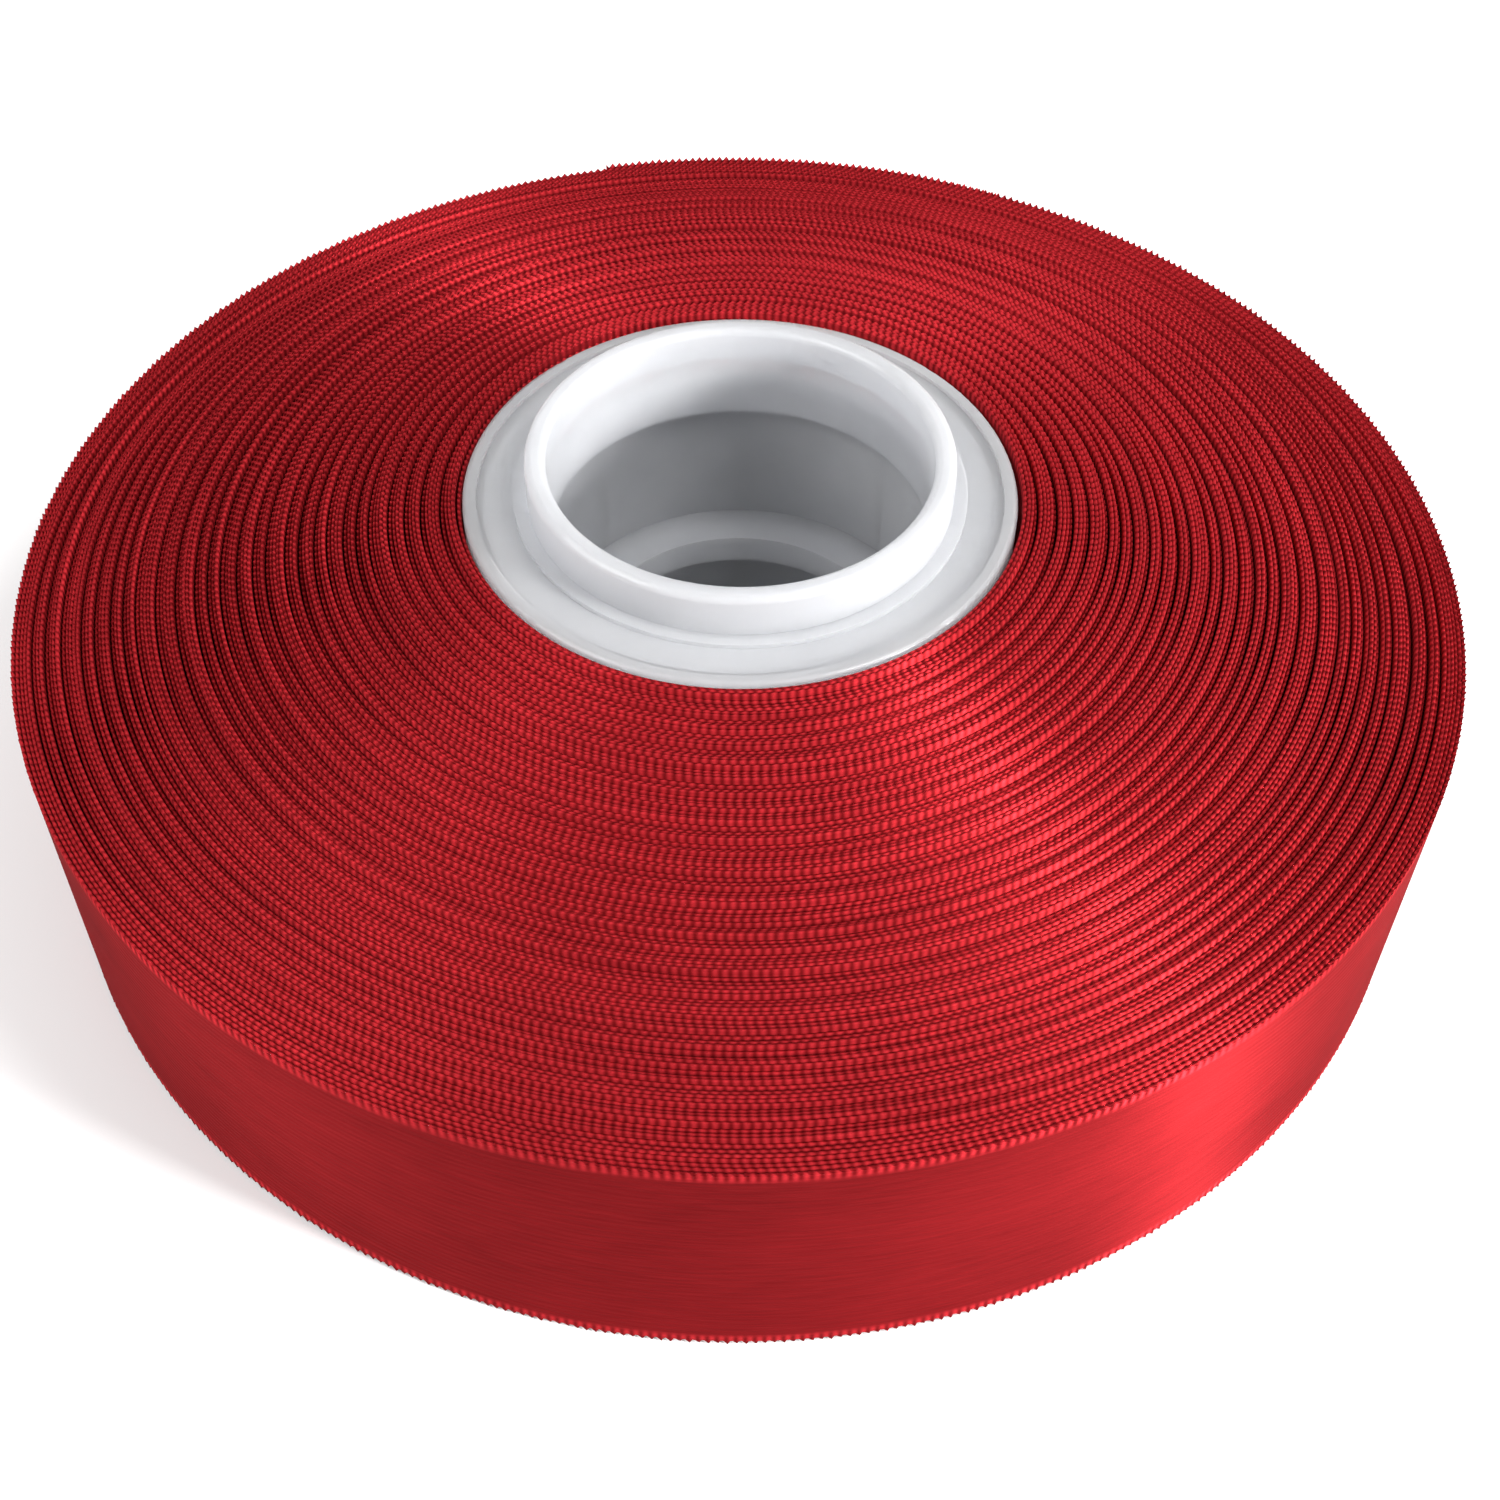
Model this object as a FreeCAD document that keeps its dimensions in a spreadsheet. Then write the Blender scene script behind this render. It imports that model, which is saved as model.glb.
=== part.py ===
import FreeCAD, Part
import os
import Sketcher

# Ribbon spool: a roll of satin ribbon wound on a hub that is moulded in two halves.
# The spool's axis is +Z. The origin is on the axis, in the plane the spool stands on.
# Lengths are in millimetres, angles in degrees.

os.makedirs("parts", exist_ok=True)
doc = FreeCAD.newDocument("ribbon_spool")

FULL_TURN = 360
ZERO = 1e-9
SAME = 0.01

SHEET_VALUES = {
    # wound ribbon; its inner turns sit higher than its outer ones
    "ribbon_width": 19,
    "pack_outer_r": 48,
    "pack_inner_r": 18.3,
    "pack_rise": 6,
    # drum that the ribbon is wound on, and the flange on top of it
    "drum_outer_r": 18.2,
    "drum_inner_r": 16.9,
    "flange_top_z": 25,
    "web_thick": 1.2,
    "seam_z": 12,
    "lap_r": 17.55,
    "lap_depth": 2,
    # collar and its tube, on the upper half
    "collar_inner_r": 12.6,
    "collar_outer_r": 14,
    "collar_top_z": 28,
    "tube_outer_r": 13.6,
    "tube_end_z": 21,
    "groove_inner_r": 14.9,
    "groove_outer_r": 17.3,
    "groove_depth": 0.3,
    "collar_round": 0.5,
    "flange_edge_round": 0.35,
    # barrel and spindle ring, on the lower half
    "barrel_inner_r": 13.65,
    "barrel_outer_r": 14.6,
    "barrel_top_z": 23.7,
    "spindle_r": 10.5,
    "ledge_z": 10.8,
    "ledge_thick": 2.2,
    "rib_thick": 0.8,
    "rib_top_z": 20,
    "rib_overlap": 0.4,
    "rib_count": 8,
    "foot_round": 0.5,
    # free end of the ribbon on the outside, and the tape tab on it
    "tail_inner_r": 48.35,
    "tail_thick": 0.3,
    "tail_margin": 0.2,
    "tail_angle": 35,
    "tail_start": 70,
    "tape_gap": 0.02,
    "tape_thick": 0.1,
    "tape_height": 12,
    "tape_angle": 15,
    "tape_start": 98,
}


def make_sheet():
    sheet = doc.addObject("Spreadsheet::Sheet", "sizes")
    for row, (name, value) in enumerate(SHEET_VALUES.items(), start=1):
        sheet.set("A%d" % row, name)
        sheet.set("B%d" % row, str(value))
        sheet.setAlias("B%d" % row, name)
    doc.recompute()
    return sheet


sizes = make_sheet()


def size(name):
    return float(sizes.get(name))


def evaluated(expression):
    """The number an expression over the sheet stands for."""
    probe = doc.addObject("App::FeaturePython", "probe")
    probe.addProperty("App::PropertyFloat", "value")
    probe.setExpression("value", expression)
    doc.recompute()
    value = float(probe.value)
    doc.removeObject(probe.Name)
    return value


def named(term):
    """A sheet expression from a term such as 'seam_z + lap_depth'."""
    words = []
    for word in term.split():
        words.append("sizes." + word if word in SHEET_VALUES else word)
    return " ".join(words)


def origin_plane(body, role):
    for item in body.Origin.OriginFeatures:
        if item.Role == role:
            return item
    raise RuntimeError("no plane " + role)


def sketch_on(body, name, role):
    sketch = body.newObject("Sketcher::SketchObject", name)
    sketch.AttachmentSupport = [(origin_plane(body, role), "")]
    sketch.MapMode = "FlatFace"
    return sketch


def bind_corner(sketch, edge, axis, term, prefix):
    """Hold one coordinate of an edge's first point to a term over the sheet."""
    value = evaluated(named(term))
    if abs(value) < ZERO:
        on_axis = -2 if axis == "X" else -1
        sketch.addConstraint(Sketcher.Constraint("PointOnObject", edge, 1, on_axis))
        return
    kind = "Distance" + axis
    index = sketch.addConstraint(Sketcher.Constraint(kind, -1, 1, edge, 1, value))
    name = "%s_%s%d" % (prefix, axis.lower(), edge)
    sketch.renameConstraint(index, name)
    sketch.setExpression("Constraints." + name, named(term))


def closed_outline(sketch, corners, prefix):
    """Draw a closed outline through corners given as pairs of terms."""
    points = []
    for across, up in corners:
        points.append(FreeCAD.Vector(evaluated(named(across)), evaluated(named(up)), 0))
    count = len(points)
    for i in range(count):
        sketch.addGeometry(Part.LineSegment(points[i], points[(i + 1) % count]), False)
    for i in range(count):
        sketch.addConstraint(Sketcher.Constraint("Coincident", i, 2, (i + 1) % count, 1))
    for i, (across, up) in enumerate(corners):
        bind_corner(sketch, i, "X", across, prefix)
        bind_corner(sketch, i, "Y", up, prefix)


def revolved_body(label, corners):
    """A body whose outline, as radius and height terms, is turned about Z."""
    body = doc.addObject("PartDesign::Body", label)
    body.Label = label
    sketch = sketch_on(body, label + "_outline", "XZ_Plane")
    closed_outline(sketch, corners, "corner")
    turned = body.newObject("PartDesign::Revolution", label + "_turned")
    turned.Profile = sketch
    turned.ReferenceAxis = (sketch, ["V_Axis"])
    turned.Angle = FULL_TURN
    sketch.Visibility = False
    doc.recompute()
    return body, turned


def ring_edges(shape, wanted):
    """Names of the circular edges that lie at the wanted radii and heights."""
    found = []
    for index, edge in enumerate(shape.Edges, start=1):
        if not isinstance(edge.Curve, Part.Circle):
            continue
        for radius, height in wanted:
            near = abs(edge.Curve.Radius - radius) < SAME
            if near and abs(edge.Curve.Center.z - height) < SAME:
                found.append("Edge%d" % index)
    return found


def rounded(body, base, name, radius_term, wanted):
    fillet = body.newObject("PartDesign::Fillet", name)
    fillet.Base = (base, ring_edges(base.Shape, wanted))
    fillet.Radius = size(radius_term)
    fillet.setExpression("Radius", named(radius_term))
    doc.recompute()
    return fillet


def hub_upper_half():
    """Collar, flange with a shallow groove, short tube and upper part of the drum."""
    body, turned = revolved_body(
        "hub_upper_half",
        [
            ("collar_inner_r", "tube_end_z"),
            ("tube_outer_r", "tube_end_z"),
            ("tube_outer_r", "flange_top_z - web_thick"),
            ("drum_inner_r", "flange_top_z - web_thick"),
            ("drum_inner_r", "seam_z + lap_depth"),
            ("lap_r", "seam_z + lap_depth"),
            ("lap_r", "seam_z"),
            ("drum_outer_r", "seam_z"),
            ("drum_outer_r", "flange_top_z"),
            ("groove_outer_r", "flange_top_z"),
            ("groove_outer_r", "flange_top_z - groove_depth"),
            ("groove_inner_r", "flange_top_z - groove_depth"),
            ("groove_inner_r", "flange_top_z"),
            ("collar_outer_r", "flange_top_z"),
            ("collar_outer_r", "collar_top_z"),
            ("collar_inner_r", "collar_top_z"),
        ],
    )
    rims = [
        (size("collar_outer_r"), size("collar_top_z")),
        (size("collar_inner_r"), size("collar_top_z")),
    ]
    collar = rounded(body, turned, "collar_rounding", "collar_round", rims)
    edge = [(size("drum_outer_r"), size("flange_top_z"))]
    rounded(body, collar, "flange_rounding", "flange_edge_round", edge)
    return body


def add_ribs(body):
    """Radial ribs in the hollow between the barrel and the drum."""
    sketch = sketch_on(body, "rib_outline", "XZ_Plane")
    inner = "barrel_outer_r - rib_overlap"
    outer = "drum_inner_r + rib_overlap"
    foot = "web_thick - rib_overlap"
    corners = [(inner, foot), (outer, foot), (outer, "rib_top_z"), (inner, "rib_top_z")]
    closed_outline(sketch, corners, "rib")
    rib = body.newObject("PartDesign::Pad", "rib")
    rib.Profile = sketch
    rib.Midplane = True
    rib.Length = size("rib_thick")
    rib.setExpression("Length", named("rib_thick"))
    sketch.Visibility = False
    doc.recompute()
    ribs = body.newObject("PartDesign::PolarPattern", "ribs")
    ribs.Originals = [rib]
    ribs.Axis = (sketch, ["V_Axis"])
    ribs.Angle = FULL_TURN
    ribs.Occurrences = int(size("rib_count"))
    ribs.setExpression("Occurrences", named("rib_count"))
    body.Tip = ribs
    doc.recompute()
    return ribs


def hub_lower_half():
    """Barrel with the spindle ring inside it, lower part of the drum, floor and ribs."""
    body, turned = revolved_body(
        "hub_lower_half",
        [
            ("barrel_inner_r", "0"),
            ("drum_outer_r", "0"),
            ("drum_outer_r", "seam_z"),
            ("lap_r", "seam_z"),
            ("lap_r", "seam_z + lap_depth"),
            ("drum_inner_r", "seam_z + lap_depth"),
            ("drum_inner_r", "web_thick"),
            ("barrel_outer_r", "web_thick"),
            ("barrel_outer_r", "barrel_top_z"),
            ("barrel_inner_r", "barrel_top_z"),
            ("barrel_inner_r", "ledge_z"),
            ("spindle_r", "ledge_z"),
            ("spindle_r", "ledge_z - ledge_thick"),
            ("barrel_inner_r", "ledge_z - ledge_thick"),
        ],
    )
    foot = [(size("drum_outer_r"), 0)]
    rounded(body, turned, "foot_rounding", "foot_round", foot)
    add_ribs(body)
    return body


def ribbon_pack():
    """All the wound turns as one dished ring."""
    body, _ = revolved_body(
        "ribbon_pack",
        [
            ("pack_inner_r", "pack_rise"),
            ("pack_outer_r", "0"),
            ("pack_outer_r", "ribbon_width"),
            ("pack_inner_r", "ribbon_width + pack_rise"),
        ],
    )
    return body


def sector(name, radius, height, angle, start, base):
    """A cylinder's sector; its sizes and its place are terms over the sheet."""
    wedge = doc.addObject("Part::Cylinder", name)
    wedge.setExpression("Radius", named(radius))
    wedge.setExpression("Height", named(height))
    wedge.setExpression("Angle", named(angle))
    wedge.setExpression("Placement.Rotation.Angle", named(start))
    wedge.setExpression("Placement.Base.z", named(base))
    return wedge


def curved_strip(label, inner, outer, height, angle, start, base):
    """A strip bent round the axis, from one radius to another."""
    whole = sector(label + "_outer", outer, height, angle, start, base)
    hollow = sector(label + "_inner", inner, height, angle, start, base)
    strip = doc.addObject("Part::Cut", label)
    strip.Label = label
    strip.Base = whole
    strip.Tool = hollow
    doc.recompute()
    return strip


def ribbon_tail():
    """The free end of the ribbon, lying on the last turn."""
    return curved_strip(
        "ribbon_tail",
        inner="tail_inner_r",
        outer="tail_inner_r + tail_thick",
        height="ribbon_width - 2 * tail_margin",
        angle="tail_angle",
        start="tail_start",
        base="tail_margin",
    )


def tail_tape():
    """The clear tab on the free end; it reaches past the ribbon's cut edge."""
    return curved_strip(
        "tail_tape",
        inner="tail_inner_r + tail_thick + tape_gap",
        outer="tail_inner_r + tail_thick + tape_gap + tape_thick",
        height="tape_height",
        angle="tape_angle",
        start="tape_start",
        base="ribbon_width / 2 - tape_height / 2",
    )


def check_and_write(nodes):
    doc.recompute()
    for item in doc.Objects:
        for state in item.State:
            if state in ("Invalid", "Error"):
                raise RuntimeError("%s is %s" % (item.Name, state))
    for node in nodes:
        shape = node.Shape
        if shape.isNull() or not shape.isValid():
            raise RuntimeError(node.Label + " has no valid shape")
        shape.exportStep("parts/%s.step" % node.Label)
        print("%s %.1f mm3" % (node.Label, shape.Volume))


check_and_write(
    [
        hub_upper_half(),
        hub_lower_half(),
        ribbon_pack(),
        ribbon_tail(),
        tail_tape(),
    ]
)
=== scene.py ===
import math

import bpy
import numpy as np
from mathutils import Matrix, Vector


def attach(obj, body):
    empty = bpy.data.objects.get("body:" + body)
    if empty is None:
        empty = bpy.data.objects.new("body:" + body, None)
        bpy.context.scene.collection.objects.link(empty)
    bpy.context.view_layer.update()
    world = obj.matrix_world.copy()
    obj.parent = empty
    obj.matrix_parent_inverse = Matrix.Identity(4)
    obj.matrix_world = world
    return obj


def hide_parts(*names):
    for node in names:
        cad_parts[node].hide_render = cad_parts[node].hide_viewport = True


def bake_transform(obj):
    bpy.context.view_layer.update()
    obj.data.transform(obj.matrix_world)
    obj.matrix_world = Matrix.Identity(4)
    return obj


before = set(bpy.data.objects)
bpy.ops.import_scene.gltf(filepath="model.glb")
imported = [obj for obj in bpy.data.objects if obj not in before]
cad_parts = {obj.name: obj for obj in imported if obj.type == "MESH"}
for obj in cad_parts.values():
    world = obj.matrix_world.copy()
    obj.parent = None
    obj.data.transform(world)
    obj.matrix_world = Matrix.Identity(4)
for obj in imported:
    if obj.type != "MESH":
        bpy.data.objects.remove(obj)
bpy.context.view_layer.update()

MM = 0.001
SEED = 41

# the wound ribbon
RIBBON_WIDTH = 19 * MM
RIBBON_LENGTH = 22.86
RIBBON_THICK = 0.222 * MM
PACK_INNER_R = 18.3 * MM
PACK_OUTER_R = 48 * MM
PACK_RISE = 6 * MM
ROOT_ANGLE = math.radians(70)

# how its turns lie: tight groups with a looser, lower turn before each
GROUP_LEAST, GROUP_BOUND = 3, 6
LOOSE_STEP, TIGHT_STEP = 1.50, 0.84
LOOSE_SINK = 0.40 * MM
GROUP_LIFT_LEAST, GROUP_LIFT_MOST = -0.10 * MM, 0.16 * MM
GROUP_DOME = 0.12 * MM
TURN_UNEVEN = 0.03 * MM
EVEN_LAST_STEPS = 5
LEVEL_LAST_TURNS = 4
SETTLE_TURNS = 3
WANDER_COLUMNS = 900
WANDER_HEIGHT = 0.05 * MM
FINE_STEPS_PER_TURN = 720

# weft loops along its edges
WEFT_PITCH = 0.56 * MM
LOOP_REACH = 0.10 * MM
LOOP_LEAST_SHARE = 0.6
LOOP_SIDEWAYS = 0.2
LAST_TURN_REACH = 2.4
FULL_REACH_TURNS = 0.5
EDGE_BEVEL = 0.10 * MM
EDGE_BAND = 0.70 * MM
CREST_OUT = 0.2
FLAT_FACE_WEIGHT = 90

# the free end: it leaves the last turn over the lead, on both sides of its root,
# and its columns are half a weft pitch apart, as in the wound ribbon
TAIL_FOOT_R = 48.21 * MM
TAIL_R = 48.50 * MM
TAIL_ANGLE = math.radians(34)
TAIL_LEAD = math.radians(5)
TAIL_STEPS = 119
TAIL_NARROWER = 0.3 * MM

# satin: each FROM and TO is a distance from the ribbon's edge, in millimetres
SATIN_DARK = (0.33, 0.015, 0.020, 1)
SATIN_LIGHT = (0.55, 0.027, 0.035, 1)
SATIN_SPREAD = (0.30, 0.70)
SATIN_TINT = (1.0, 0.30, 0.30, 1)
# painted shade: the flat face is darkened, so the pack's side is darker than the loop
# edges on its top
FACE_PAINTED_SHADE = (0.40, 0.36, 0.35, 1)
FACE_FROM, FACE_TO = 0.5, 0.9
# painted shade in the gaps between the weft loops along the ribbon's edges
GAP_PAINTED_SHADE = (0.38, 0.30, 0.30, 1)
GAP_FROM, GAP_TO = 0.95, 0.45
WEAVE_SCALE = (260, 5200, 1)
WEAVE_SLANT = math.radians(-14)
SHADE_SCALE = (55, 90, 1)
TWILL_ALONG = 5.5 * MM
TWILL_ACROSS = 0.52 * MM
TWILL_FROM, TWILL_TO = 0.6, 1.2
TWILL_SHARE = 0.5
WEAVE_BUMP = 0.35
WEAVE_DEPTH = 0.04 * MM

# hub plastic and tape
PLASTIC_DARK = (0.75, 0.76, 0.79, 1)
PLASTIC_LIGHT = (0.82, 0.83, 0.86, 1)
PLASTIC_SPREAD = (0.35, 0.70)
PLASTIC_CLOUD_SCALE = 180.0
PLASTIC_SMOOTHEST, PLASTIC_ROUGHEST = 0.24, 0.40
TAPE_COLOR = (0.92, 0.92, 0.92, 1)

# studio: each lamp has a name, direction, distance, size and power
FLOOR_SIZE = 4.0
FLOOR_DROP = 0.28 * MM
FLOOR_COLOR = (0.80, 0.80, 0.80, 1)
WORLD_STRENGTH = 0.66
LAMPS = [
    ("key", (0.53, -0.20, 0.82), 0.55, 0.18, 1.8),
    ("low", (0.75, -0.40, 0.30), 0.50, 0.10, 4.9),
    ("fill", (-0.70, -0.25, 0.70), 0.60, 0.45, 2.6),
]

# camera: distance and aim are in units of the roll's radius, angles in degrees
CAMERA_DISTANCE = 3.194
CAMERA_ELEVATION = 47.98
CAMERA_ROLL = 0.79
CAMERA_AIM = (0.018, -0.019)
FOCAL_SHARE = 1.375
SENSOR = 36.0
CLIP_NEAR, CLIP_FAR = 0.01, 50


def eased(t):
    """0 to 1 with a level start and end."""
    return t * t * (3 - 2 * t)


def smooth_noise(rng, count, step):
    """Noise with one free value every few entries and smooth ones between."""
    knots = rng.normal(0, 1, count // step + 4)
    place = np.arange(count) / step
    low = place.astype(int)
    t = eased(place - low)
    return knots[low] * (1 - t) + knots[low + 1] * t


def wound_turns(rng):
    """The number of turns, and the radius and height offset at each whole turn."""
    area = math.pi * (PACK_OUTER_R**2 - PACK_INNER_R**2)
    turns = int(round((PACK_OUTER_R - PACK_INNER_R) / (area / RIBBON_LENGTH)))
    count = turns + 2
    steps = np.full(count, 1.0)
    lift = np.zeros(count)
    at = 0
    while at < count:
        group = int(rng.integers(GROUP_LEAST, GROUP_BOUND))
        raised = rng.uniform(GROUP_LIFT_LEAST, GROUP_LIFT_MOST)
        for k in range(min(group, count - at)):
            across = 2 * k / group - 1
            dome = GROUP_DOME * (1 - across * across)
            steps[at + k] = TIGHT_STEP
            lift[at + k] = raised + dome + rng.normal(0, TURN_UNEVEN)
        steps[at] = LOOSE_STEP
        lift[at] -= LOOSE_SINK
        at += group
    steps[-EVEN_LAST_STEPS:] = 1.0
    lift[-LEVEL_LAST_TURNS:] = 0
    radius = np.concatenate([[0], np.cumsum(steps)])[: turns + 1]
    radius = PACK_INNER_R + radius / radius[-1] * (PACK_OUTER_R - PACK_INNER_R)
    return turns, radius, lift[: turns + 1]


def split_turn(turn, turns):
    """The whole turn a place lies in, and how far through it the place is."""
    whole = np.minimum(turn.astype(int), turns - 1)
    return whole, turn - whole


def spiral_line():
    """Points along the ribbon's mid line, from the hub out to the tail's root."""
    rng = np.random.default_rng(SEED)
    turns, radius, lift = wound_turns(rng)
    fine = np.linspace(0, turns, turns * FINE_STEPS_PER_TURN + 1)
    whole, part = split_turn(fine, turns)
    fine_r = radius[whole] * (1 - part) + radius[whole + 1] * part
    run = np.concatenate([[0], np.cumsum(fine_r[1:] * 2 * math.pi * np.diff(fine))])
    columns = int(run[-1] / (WEFT_PITCH / 2))
    along = np.linspace(0, run[-1], columns)
    turn = np.interp(along, run, fine)
    whole, part = split_turn(turn, turns)
    r = radius[whole] * (1 - part) + radius[whole + 1] * part
    # the step from one turn's height to the next is spread over the whole turn
    ease = eased(part)
    z = lift[whole] * (1 - ease) + lift[whole + 1] * ease
    angle = ROOT_ANGLE + 2 * math.pi * (turn - turns)
    wander = smooth_noise(rng, columns, WANDER_COLUMNS) * WANDER_HEIGHT
    dish = PACK_RISE * (PACK_OUTER_R - r) / (PACK_OUTER_R - PACK_INNER_R)
    settle = np.clip((turns - turn) / SETTLE_TURNS, 0, 1)
    z = RIBBON_WIDTH / 2 + dish + (z + wander) * settle
    return along, angle, r, z, settle


def ribbon_section(width):
    """The closed ring of points that each column of a ribbon's mesh has.

    Each is (outward share of the thickness, height, which way its loops reach)."""
    half = width / 2
    bevel, band = half - EDGE_BEVEL, half - EDGE_BAND
    return [
        (0.5, -bevel, 0),
        (0.5, -band, 0),
        (0.5, band, 0),
        (0.5, bevel, 0),
        (CREST_OUT, half, 1),
        (-0.5, bevel, 0),
        (-0.5, -bevel, 0),
        (CREST_OUT, -half, -1),
    ]


def strip_points(section, angle, r, z, reach, rng):
    """The section's points in every column, with loops on alternate columns."""
    count = len(angle)
    loop = np.where(np.arange(count) % 2 == 0, 1.0, -1.0)
    loop = loop * rng.uniform(LOOP_LEAST_SHARE, 1.0, count) * reach
    coords = np.zeros((count, len(section), 3))
    for k, (out, up, way) in enumerate(section):
        sideways = abs(way) * loop * LOOP_SIDEWAYS * RIBBON_THICK
        rk = r + out * RIBBON_THICK + sideways
        coords[:, k, 0] = rk * np.cos(angle)
        coords[:, k, 1] = rk * np.sin(angle)
        coords[:, k, 2] = z + up + way * loop * LOOP_REACH
    return coords


def strip_faces(count, sides):
    """Vertex numbers of all faces in a row, and how many each face has."""
    base = (np.arange(count - 1) * sides)[:, None]
    here = np.arange(sides)[None, :]
    after = (np.arange(sides) + 1)[None, :] % sides
    corners = [base + here, base + sides + here, base + sides + after, base + after]
    quads = np.stack(corners, -1).reshape(-1, 4)
    first = np.arange(sides)
    last = (count - 1) * sides + first[::-1]
    loops = np.concatenate([quads.reshape(-1), first, last])
    totals = np.concatenate([np.full(len(quads), 4), [sides, sides]])
    return loops.astype(np.int32), totals


def strip_mesh(name, along, angle, r, z, reach, width, rng):
    """A ribbon with weft loops along both edges, closed at its ends."""
    section = ribbon_section(width)
    coords = strip_points(section, angle, r, z, reach, rng)
    loops, totals = strip_faces(len(along), len(section))
    mesh = bpy.data.meshes.new(name)
    mesh.vertices.add(len(along) * len(section))
    mesh.vertices.foreach_set("co", coords.reshape(-1))
    mesh.loops.add(len(loops))
    mesh.loops.foreach_set("vertex_index", loops)
    starts = np.concatenate([[0], np.cumsum(totals)[:-1]])
    mesh.polygons.add(len(totals))
    mesh.polygons.foreach_set("loop_start", starts.astype(np.int32))
    mesh.update(calc_edges=True)
    mesh.validate()
    add_cloth_map(mesh, along, [up for _, up, _ in section])
    mesh.polygons.foreach_set("use_smooth", np.ones(len(mesh.polygons), bool))
    thing = bpy.data.objects.new(name, mesh)
    bpy.context.scene.collection.objects.link(thing)
    # the flat face keeps its own shading beside the small loops
    flat = thing.modifiers.new("flat_face", "WEIGHTED_NORMAL")
    flat.weight = FLAT_FACE_WEIGHT
    return thing


def add_cloth_map(mesh, along, heights):
    """U runs along the ribbon and V across it, both in metres."""
    index = np.zeros(len(mesh.loops), np.int32)
    mesh.loops.foreach_get("vertex_index", index)
    column, side = index // len(heights), index % len(heights)
    uv = np.stack([along[column], np.array(heights)[side]], -1)
    layer = mesh.uv_layers.new(name="cloth")
    layer.data.foreach_set("uv", uv.astype(np.float32).reshape(-1))


class Nodes:
    """Short names for building a material's node tree."""

    def __init__(self, name):
        self.material = bpy.data.materials.new(name)
        self.material.use_nodes = True
        self.tree = self.material.node_tree
        self.shader = self.tree.nodes["Principled BSDF"]

    def add(self, kind, **settings):
        node = self.tree.nodes.new(kind)
        for key, value in settings.items():
            setattr(node, key, value)
        return node

    def link(self, out, into):
        self.tree.links.new(out, into)

    def set(self, **values):
        """Set the shader's sockets; an underscore stands for a space."""
        for key, value in values.items():
            self.shader.inputs[key.replace("_", " ")].default_value = value

    def math(self, operation, *values):
        node = self.add("ShaderNodeMath", operation=operation)
        for into, value in zip(node.inputs, values):
            if isinstance(value, (int, float)):
                into.default_value = value
            else:
                self.link(value, into)
        return node.outputs[0]

    def fade(self, value, start, end):
        """0 at start and 1 at end, held there beyond them."""
        node = self.add("ShaderNodeMapRange")
        node.inputs["From Min"].default_value = start
        node.inputs["From Max"].default_value = end
        self.link(value, node.inputs["Value"])
        return node.outputs["Result"]

    def multiply(self, color, by, amount):
        """The colour, multiplied by another as far as amount says."""
        node = self.add("ShaderNodeMix", data_type="RGBA", blend_type="MULTIPLY")
        colors = [i for i in node.inputs if i.type == "RGBA"]
        self.link(amount, node.inputs["Factor"])
        self.link(color, colors[0])
        colors[1].default_value = by
        return [o for o in node.outputs if o.type == "RGBA"][0]

    def ramp(self, value, spread, dark, light):
        """Dark below the spread's low value and light above its high one."""
        node = self.add("ShaderNodeValToRGB")
        first, second = node.color_ramp.elements
        first.position, second.position = spread
        first.color, second.color = dark, light
        self.link(value, node.inputs["Fac"])
        return node.outputs["Color"]


def satin():
    n = Nodes("satin")
    # the warp threads run along the ribbon, so shine spreads across it
    n.set(Roughness=0.55, Anisotropic=0.95, Anisotropic_Rotation=0.25, Metallic=0.45)
    n.set(Specular_IOR_Level=0.06, Specular_Tint=SATIN_TINT)
    uv = n.add("ShaderNodeUVMap", uv_map="cloth")
    tangent = n.add("ShaderNodeTangent", direction_type="UV_MAP", uv_map="cloth")
    n.link(tangent.outputs["Tangent"], n.shader.inputs["Tangent"])
    weave = cloth_noise(n, uv, WEAVE_SCALE, detail=2.0, slant=WEAVE_SLANT)
    shade = cloth_noise(n, uv, SHADE_SCALE, detail=3.0, slant=0)
    mean = n.math("MULTIPLY", n.math("ADD", weave, shade), 0.5)
    thread = n.ramp(mean, SATIN_SPREAD, SATIN_DARK, SATIN_LIGHT)
    away = edge_distance(n, uv)
    # painted shade: the flat face, away from the edges, is darkened
    face = n.multiply(thread, FACE_PAINTED_SHADE, n.fade(away, FACE_FROM, FACE_TO))
    # painted shade in the gaps between the weft loops
    color = n.multiply(face, GAP_PAINTED_SHADE, loop_gap_painted_shade(n, uv, away))
    n.link(color, n.shader.inputs["Base Color"])
    ribs = n.math("MULTIPLY", twill(n, uv), n.fade(away, TWILL_FROM, TWILL_TO))
    bump = n.add("ShaderNodeBump")
    bump.inputs["Strength"].default_value = WEAVE_BUMP
    bump.inputs["Distance"].default_value = WEAVE_DEPTH
    n.link(n.math("MULTIPLY_ADD", ribs, TWILL_SHARE, weave), bump.inputs["Height"])
    n.link(bump.outputs["Normal"], n.shader.inputs["Normal"])
    return n.material


def cloth_noise(n, uv, scale, detail, slant):
    """Noise over the cloth, with so many changes per metre along and across."""
    place = n.add("ShaderNodeMapping")
    place.inputs["Rotation"].default_value = (0, 0, slant)
    place.inputs["Scale"].default_value = scale
    n.link(uv.outputs["UV"], place.inputs["Vector"])
    noise = n.add("ShaderNodeTexNoise")
    noise.inputs["Scale"].default_value = 1.0
    noise.inputs["Detail"].default_value = detail
    n.link(place.outputs["Vector"], noise.inputs["Vector"])
    return noise.outputs["Fac"]


def along_and_across(n, uv):
    parts = n.add("ShaderNodeSeparateXYZ")
    n.link(uv.outputs["UV"], parts.inputs["Vector"])
    return parts.outputs["X"], parts.outputs["Y"]


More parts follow.
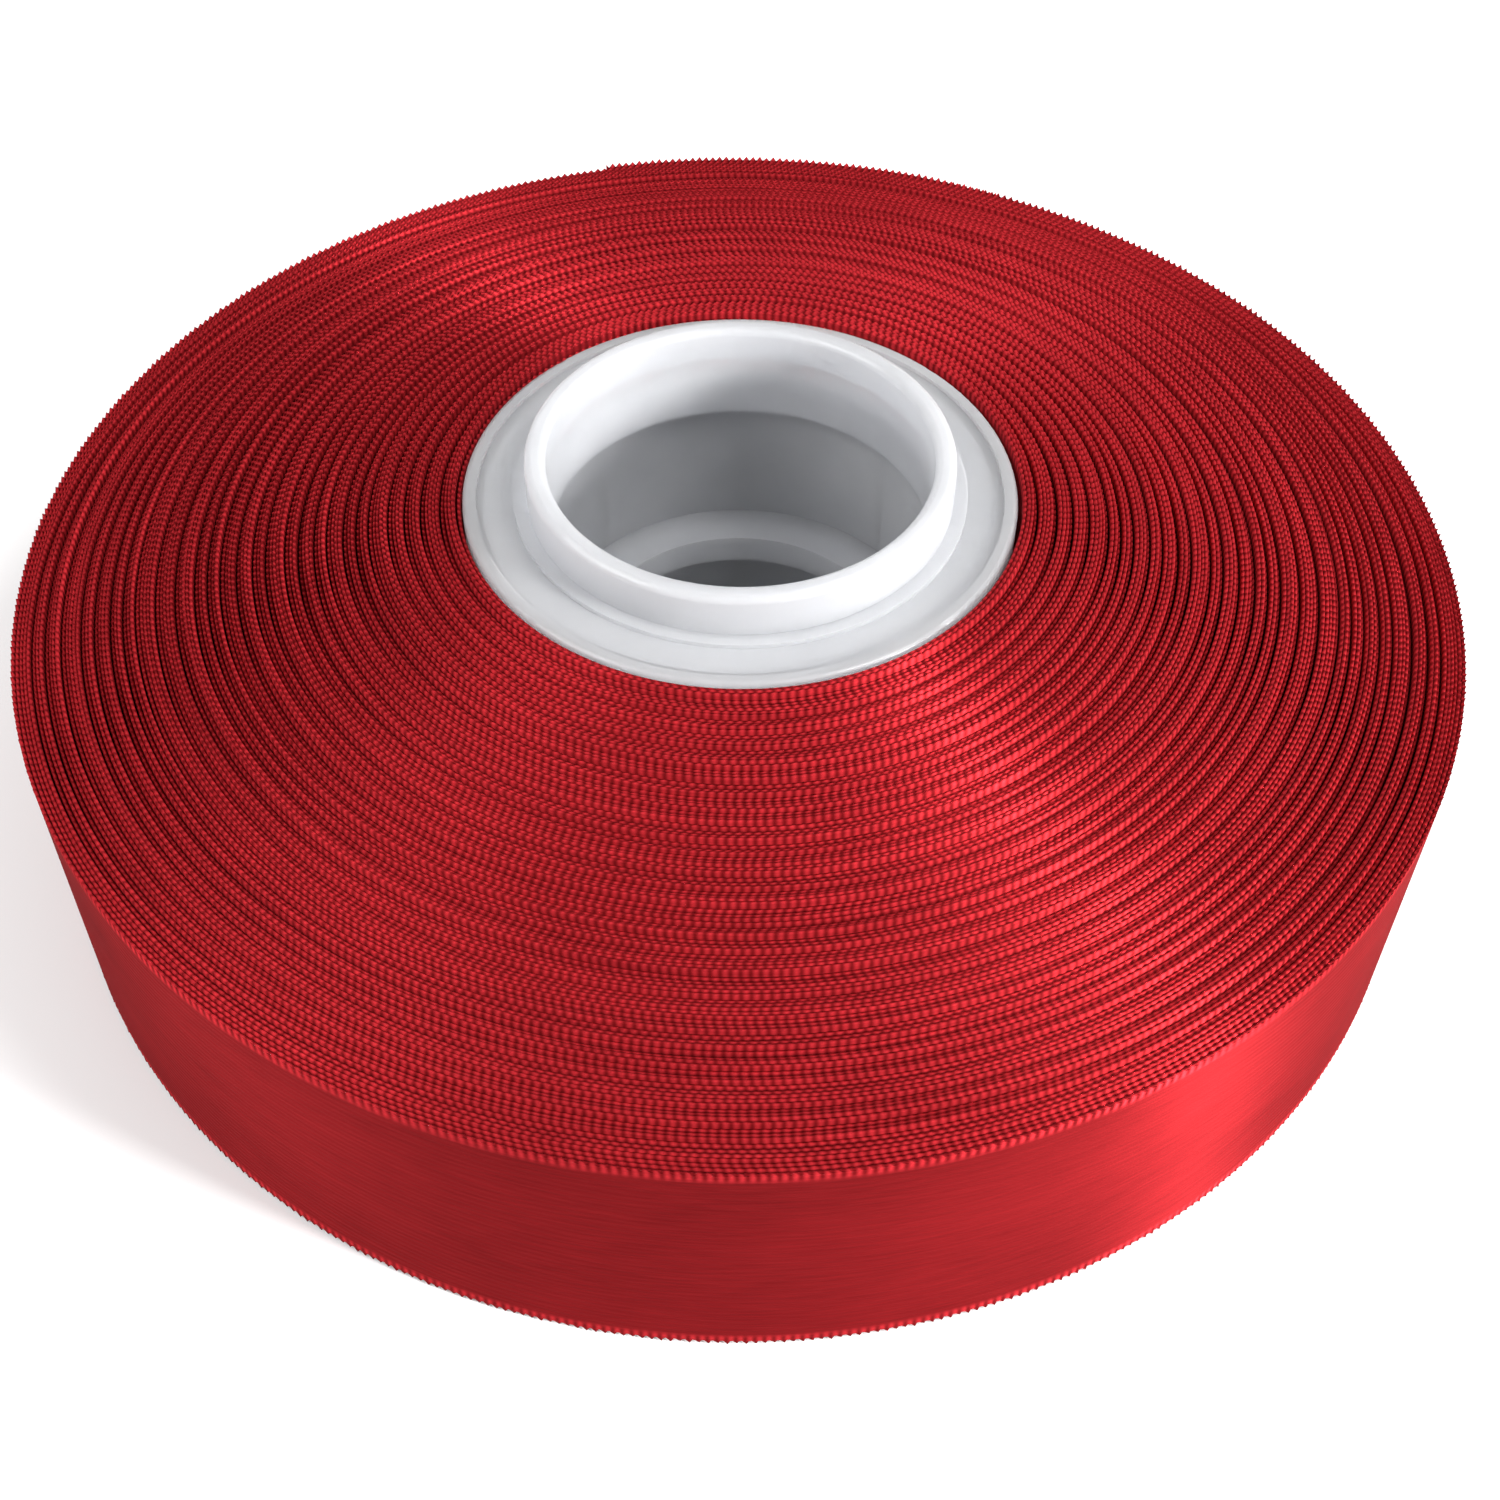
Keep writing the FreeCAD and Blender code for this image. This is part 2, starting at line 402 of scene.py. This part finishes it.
def twill(n, uv):
    """Fine lines that run along the ribbon and slant slowly across it."""
    u, v = along_and_across(n, uv)
    along = n.math("MULTIPLY", u, 2 * math.pi / TWILL_ALONG)
    across = n.math("MULTIPLY", v, 2 * math.pi / TWILL_ACROSS)
    return n.math("SINE", n.math("ADD", along, across))


def edge_distance(n, uv):
    """How far a point is from the ribbon's nearer edge, in millimetres."""
    _, v = along_and_across(n, uv)
    return n.math("MULTIPLY_ADD", n.math("ABSOLUTE", v), -1 / MM, RIBBON_WIDTH / 2 / MM)


def loop_gap_painted_shade(n, uv, away):
    """1 in the small gaps between the weft loops, at the edges only, where shade is
    painted.
    """
    u, _ = along_and_across(n, uv)
    phase = n.math("MULTIPLY", u, 2 * math.pi / WEFT_PITCH)
    wave = n.math("MULTIPLY_ADD", n.math("COSINE", phase), -0.5, 0.5)
    return n.math("MULTIPLY", wave, n.fade(away, GAP_FROM, GAP_TO))


def frosted_plastic():
    n = Nodes("frosted_plastic")
    n.set(IOR=1.45, Transmission_Weight=0.60, Coat_Weight=0.15, Coat_Roughness=0.2)
    n.set(Subsurface_Weight=0.85, Subsurface_Scale=0.004)
    n.set(Subsurface_Radius=(1.0, 1.0, 1.0))
    where = n.add("ShaderNodeTexCoord")
    cloud = n.add("ShaderNodeTexNoise")
    cloud.inputs["Scale"].default_value = PLASTIC_CLOUD_SCALE
    cloud.inputs["Detail"].default_value = 4.0
    n.link(where.outputs["Object"], cloud.inputs["Vector"])
    color = n.ramp(cloud.outputs["Fac"], PLASTIC_SPREAD, PLASTIC_DARK, PLASTIC_LIGHT)
    n.link(color, n.shader.inputs["Base Color"])
    rough = n.add("ShaderNodeMapRange")
    rough.inputs["To Min"].default_value = PLASTIC_SMOOTHEST
    rough.inputs["To Max"].default_value = PLASTIC_ROUGHEST
    n.link(cloud.outputs["Fac"], rough.inputs["Value"])
    n.link(rough.outputs["Result"], n.shader.inputs["Roughness"])
    return n.material


def clear_film():
    n = Nodes("clear_film")
    n.set(Roughness=0.12, IOR=1.45, Alpha=0.12, Base_Color=TAPE_COLOR)
    return n.material


def dress(thing, material):
    thing.data.materials.clear()
    thing.data.materials.append(material)


def wound_ribbon(material):
    """Every wound turn, as one unbroken strip from the hub to the tail's root."""
    along, angle, r, z, settle = spiral_line()
    # the loops grow over one turn, and have their full reach in the last half turn
    outermost = 1 - np.clip(settle * SETTLE_TURNS - FULL_REACH_TURNS, 0, 1)
    reach = 1 + (LAST_TURN_REACH - 1) * outermost
    rng = np.random.default_rng(SEED + 1)
    piece = strip_mesh("wound_ribbon", along, angle, r, z, reach, RIBBON_WIDTH, rng)
    dress(piece, material)
    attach(piece, "spool")
    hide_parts("ribbon_pack")


def free_end(material):
    """The last few centimetres, from just before the root to the cut end."""
    angle = np.linspace(ROOT_ANGLE - TAIL_LEAD, ROOT_ANGLE + TAIL_ANGLE, TAIL_STEPS)
    climb = eased(np.clip((angle - angle[0]) / (2 * TAIL_LEAD), 0, 1))
    r = TAIL_FOOT_R + (TAIL_R - TAIL_FOOT_R) * climb
    along = np.concatenate([[0], np.cumsum(r[1:] * np.diff(angle))])
    z = np.full(TAIL_STEPS, RIBBON_WIDTH / 2)
    rng = np.random.default_rng(SEED + 2)
    width = RIBBON_WIDTH - TAIL_NARROWER
    piece = strip_mesh("free_end", along, angle, r, z, LAST_TURN_REACH, width, rng)
    dress(piece, material)
    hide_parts("ribbon_tail")
    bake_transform(piece)


def studio():
    """A pale floor, an even white surround and soft lamps."""
    bpy.ops.mesh.primitive_plane_add(size=FLOOR_SIZE, location=(0, 0, -FLOOR_DROP))
    floor = bpy.context.object
    floor.name = "floor"
    n = Nodes("floor_white")
    n.set(Roughness=0.9, Base_Color=FLOOR_COLOR)
    floor.data.materials.append(n.material)
    world = bpy.data.worlds.new("studio")
    bpy.context.scene.world = world
    world.use_nodes = True
    background = world.node_tree.nodes["Background"]
    background.inputs["Color"].default_value = (1.0, 1.0, 1.0, 1)
    background.inputs["Strength"].default_value = WORLD_STRENGTH
    for name, direction, distance, size, power in LAMPS:
        soft_lamp(name, direction, distance, size, power)


def soft_lamp(name, direction, distance, size, power):
    """A round lamp that faces the spool from the given direction."""
    data = bpy.data.lights.new(name, "AREA")
    data.shape = "DISK"
    data.size = size
    data.energy = power
    lamp = bpy.data.objects.new(name, data)
    way = Vector(direction).normalized()
    lamp.location = way * distance
    lamp.rotation_mode = "QUATERNION"
    lamp.rotation_quaternion = way.to_track_quat("Z", "Y")
    bpy.context.scene.collection.objects.link(lamp)


def camera():
    data = bpy.data.cameras.new("camera")
    data.sensor_width = SENSOR
    data.lens = SENSOR * FOCAL_SHARE
    data.clip_start = CLIP_NEAR
    data.clip_end = CLIP_FAR
    eye = bpy.data.objects.new("camera", data)
    tilt = math.radians(CAMERA_ELEVATION)
    back = Vector((0, -math.cos(tilt), math.sin(tilt)))
    aim = Vector((CAMERA_AIM[0], CAMERA_AIM[1], 0)) * PACK_OUTER_R
    turn = back.to_track_quat("Z", "Y").to_matrix().to_4x4()
    roll = Matrix.Rotation(math.radians(CAMERA_ROLL), 4, "Z")
    place = Matrix.Translation(aim + back * CAMERA_DISTANCE * PACK_OUTER_R)
    eye.matrix_world = place @ turn @ roll
    bpy.context.scene.collection.objects.link(eye)
    bpy.context.scene.camera = eye


satin_material = satin()
wound_ribbon(satin_material)
free_end(satin_material)
plastic = frosted_plastic()
for node in ("hub_upper_half", "hub_lower_half"):
    dress(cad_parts[node], plastic)
dress(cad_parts["tail_tape"], clear_film())
studio()
camera()
bpy.context.scene.view_settings.view_transform = "Standard"
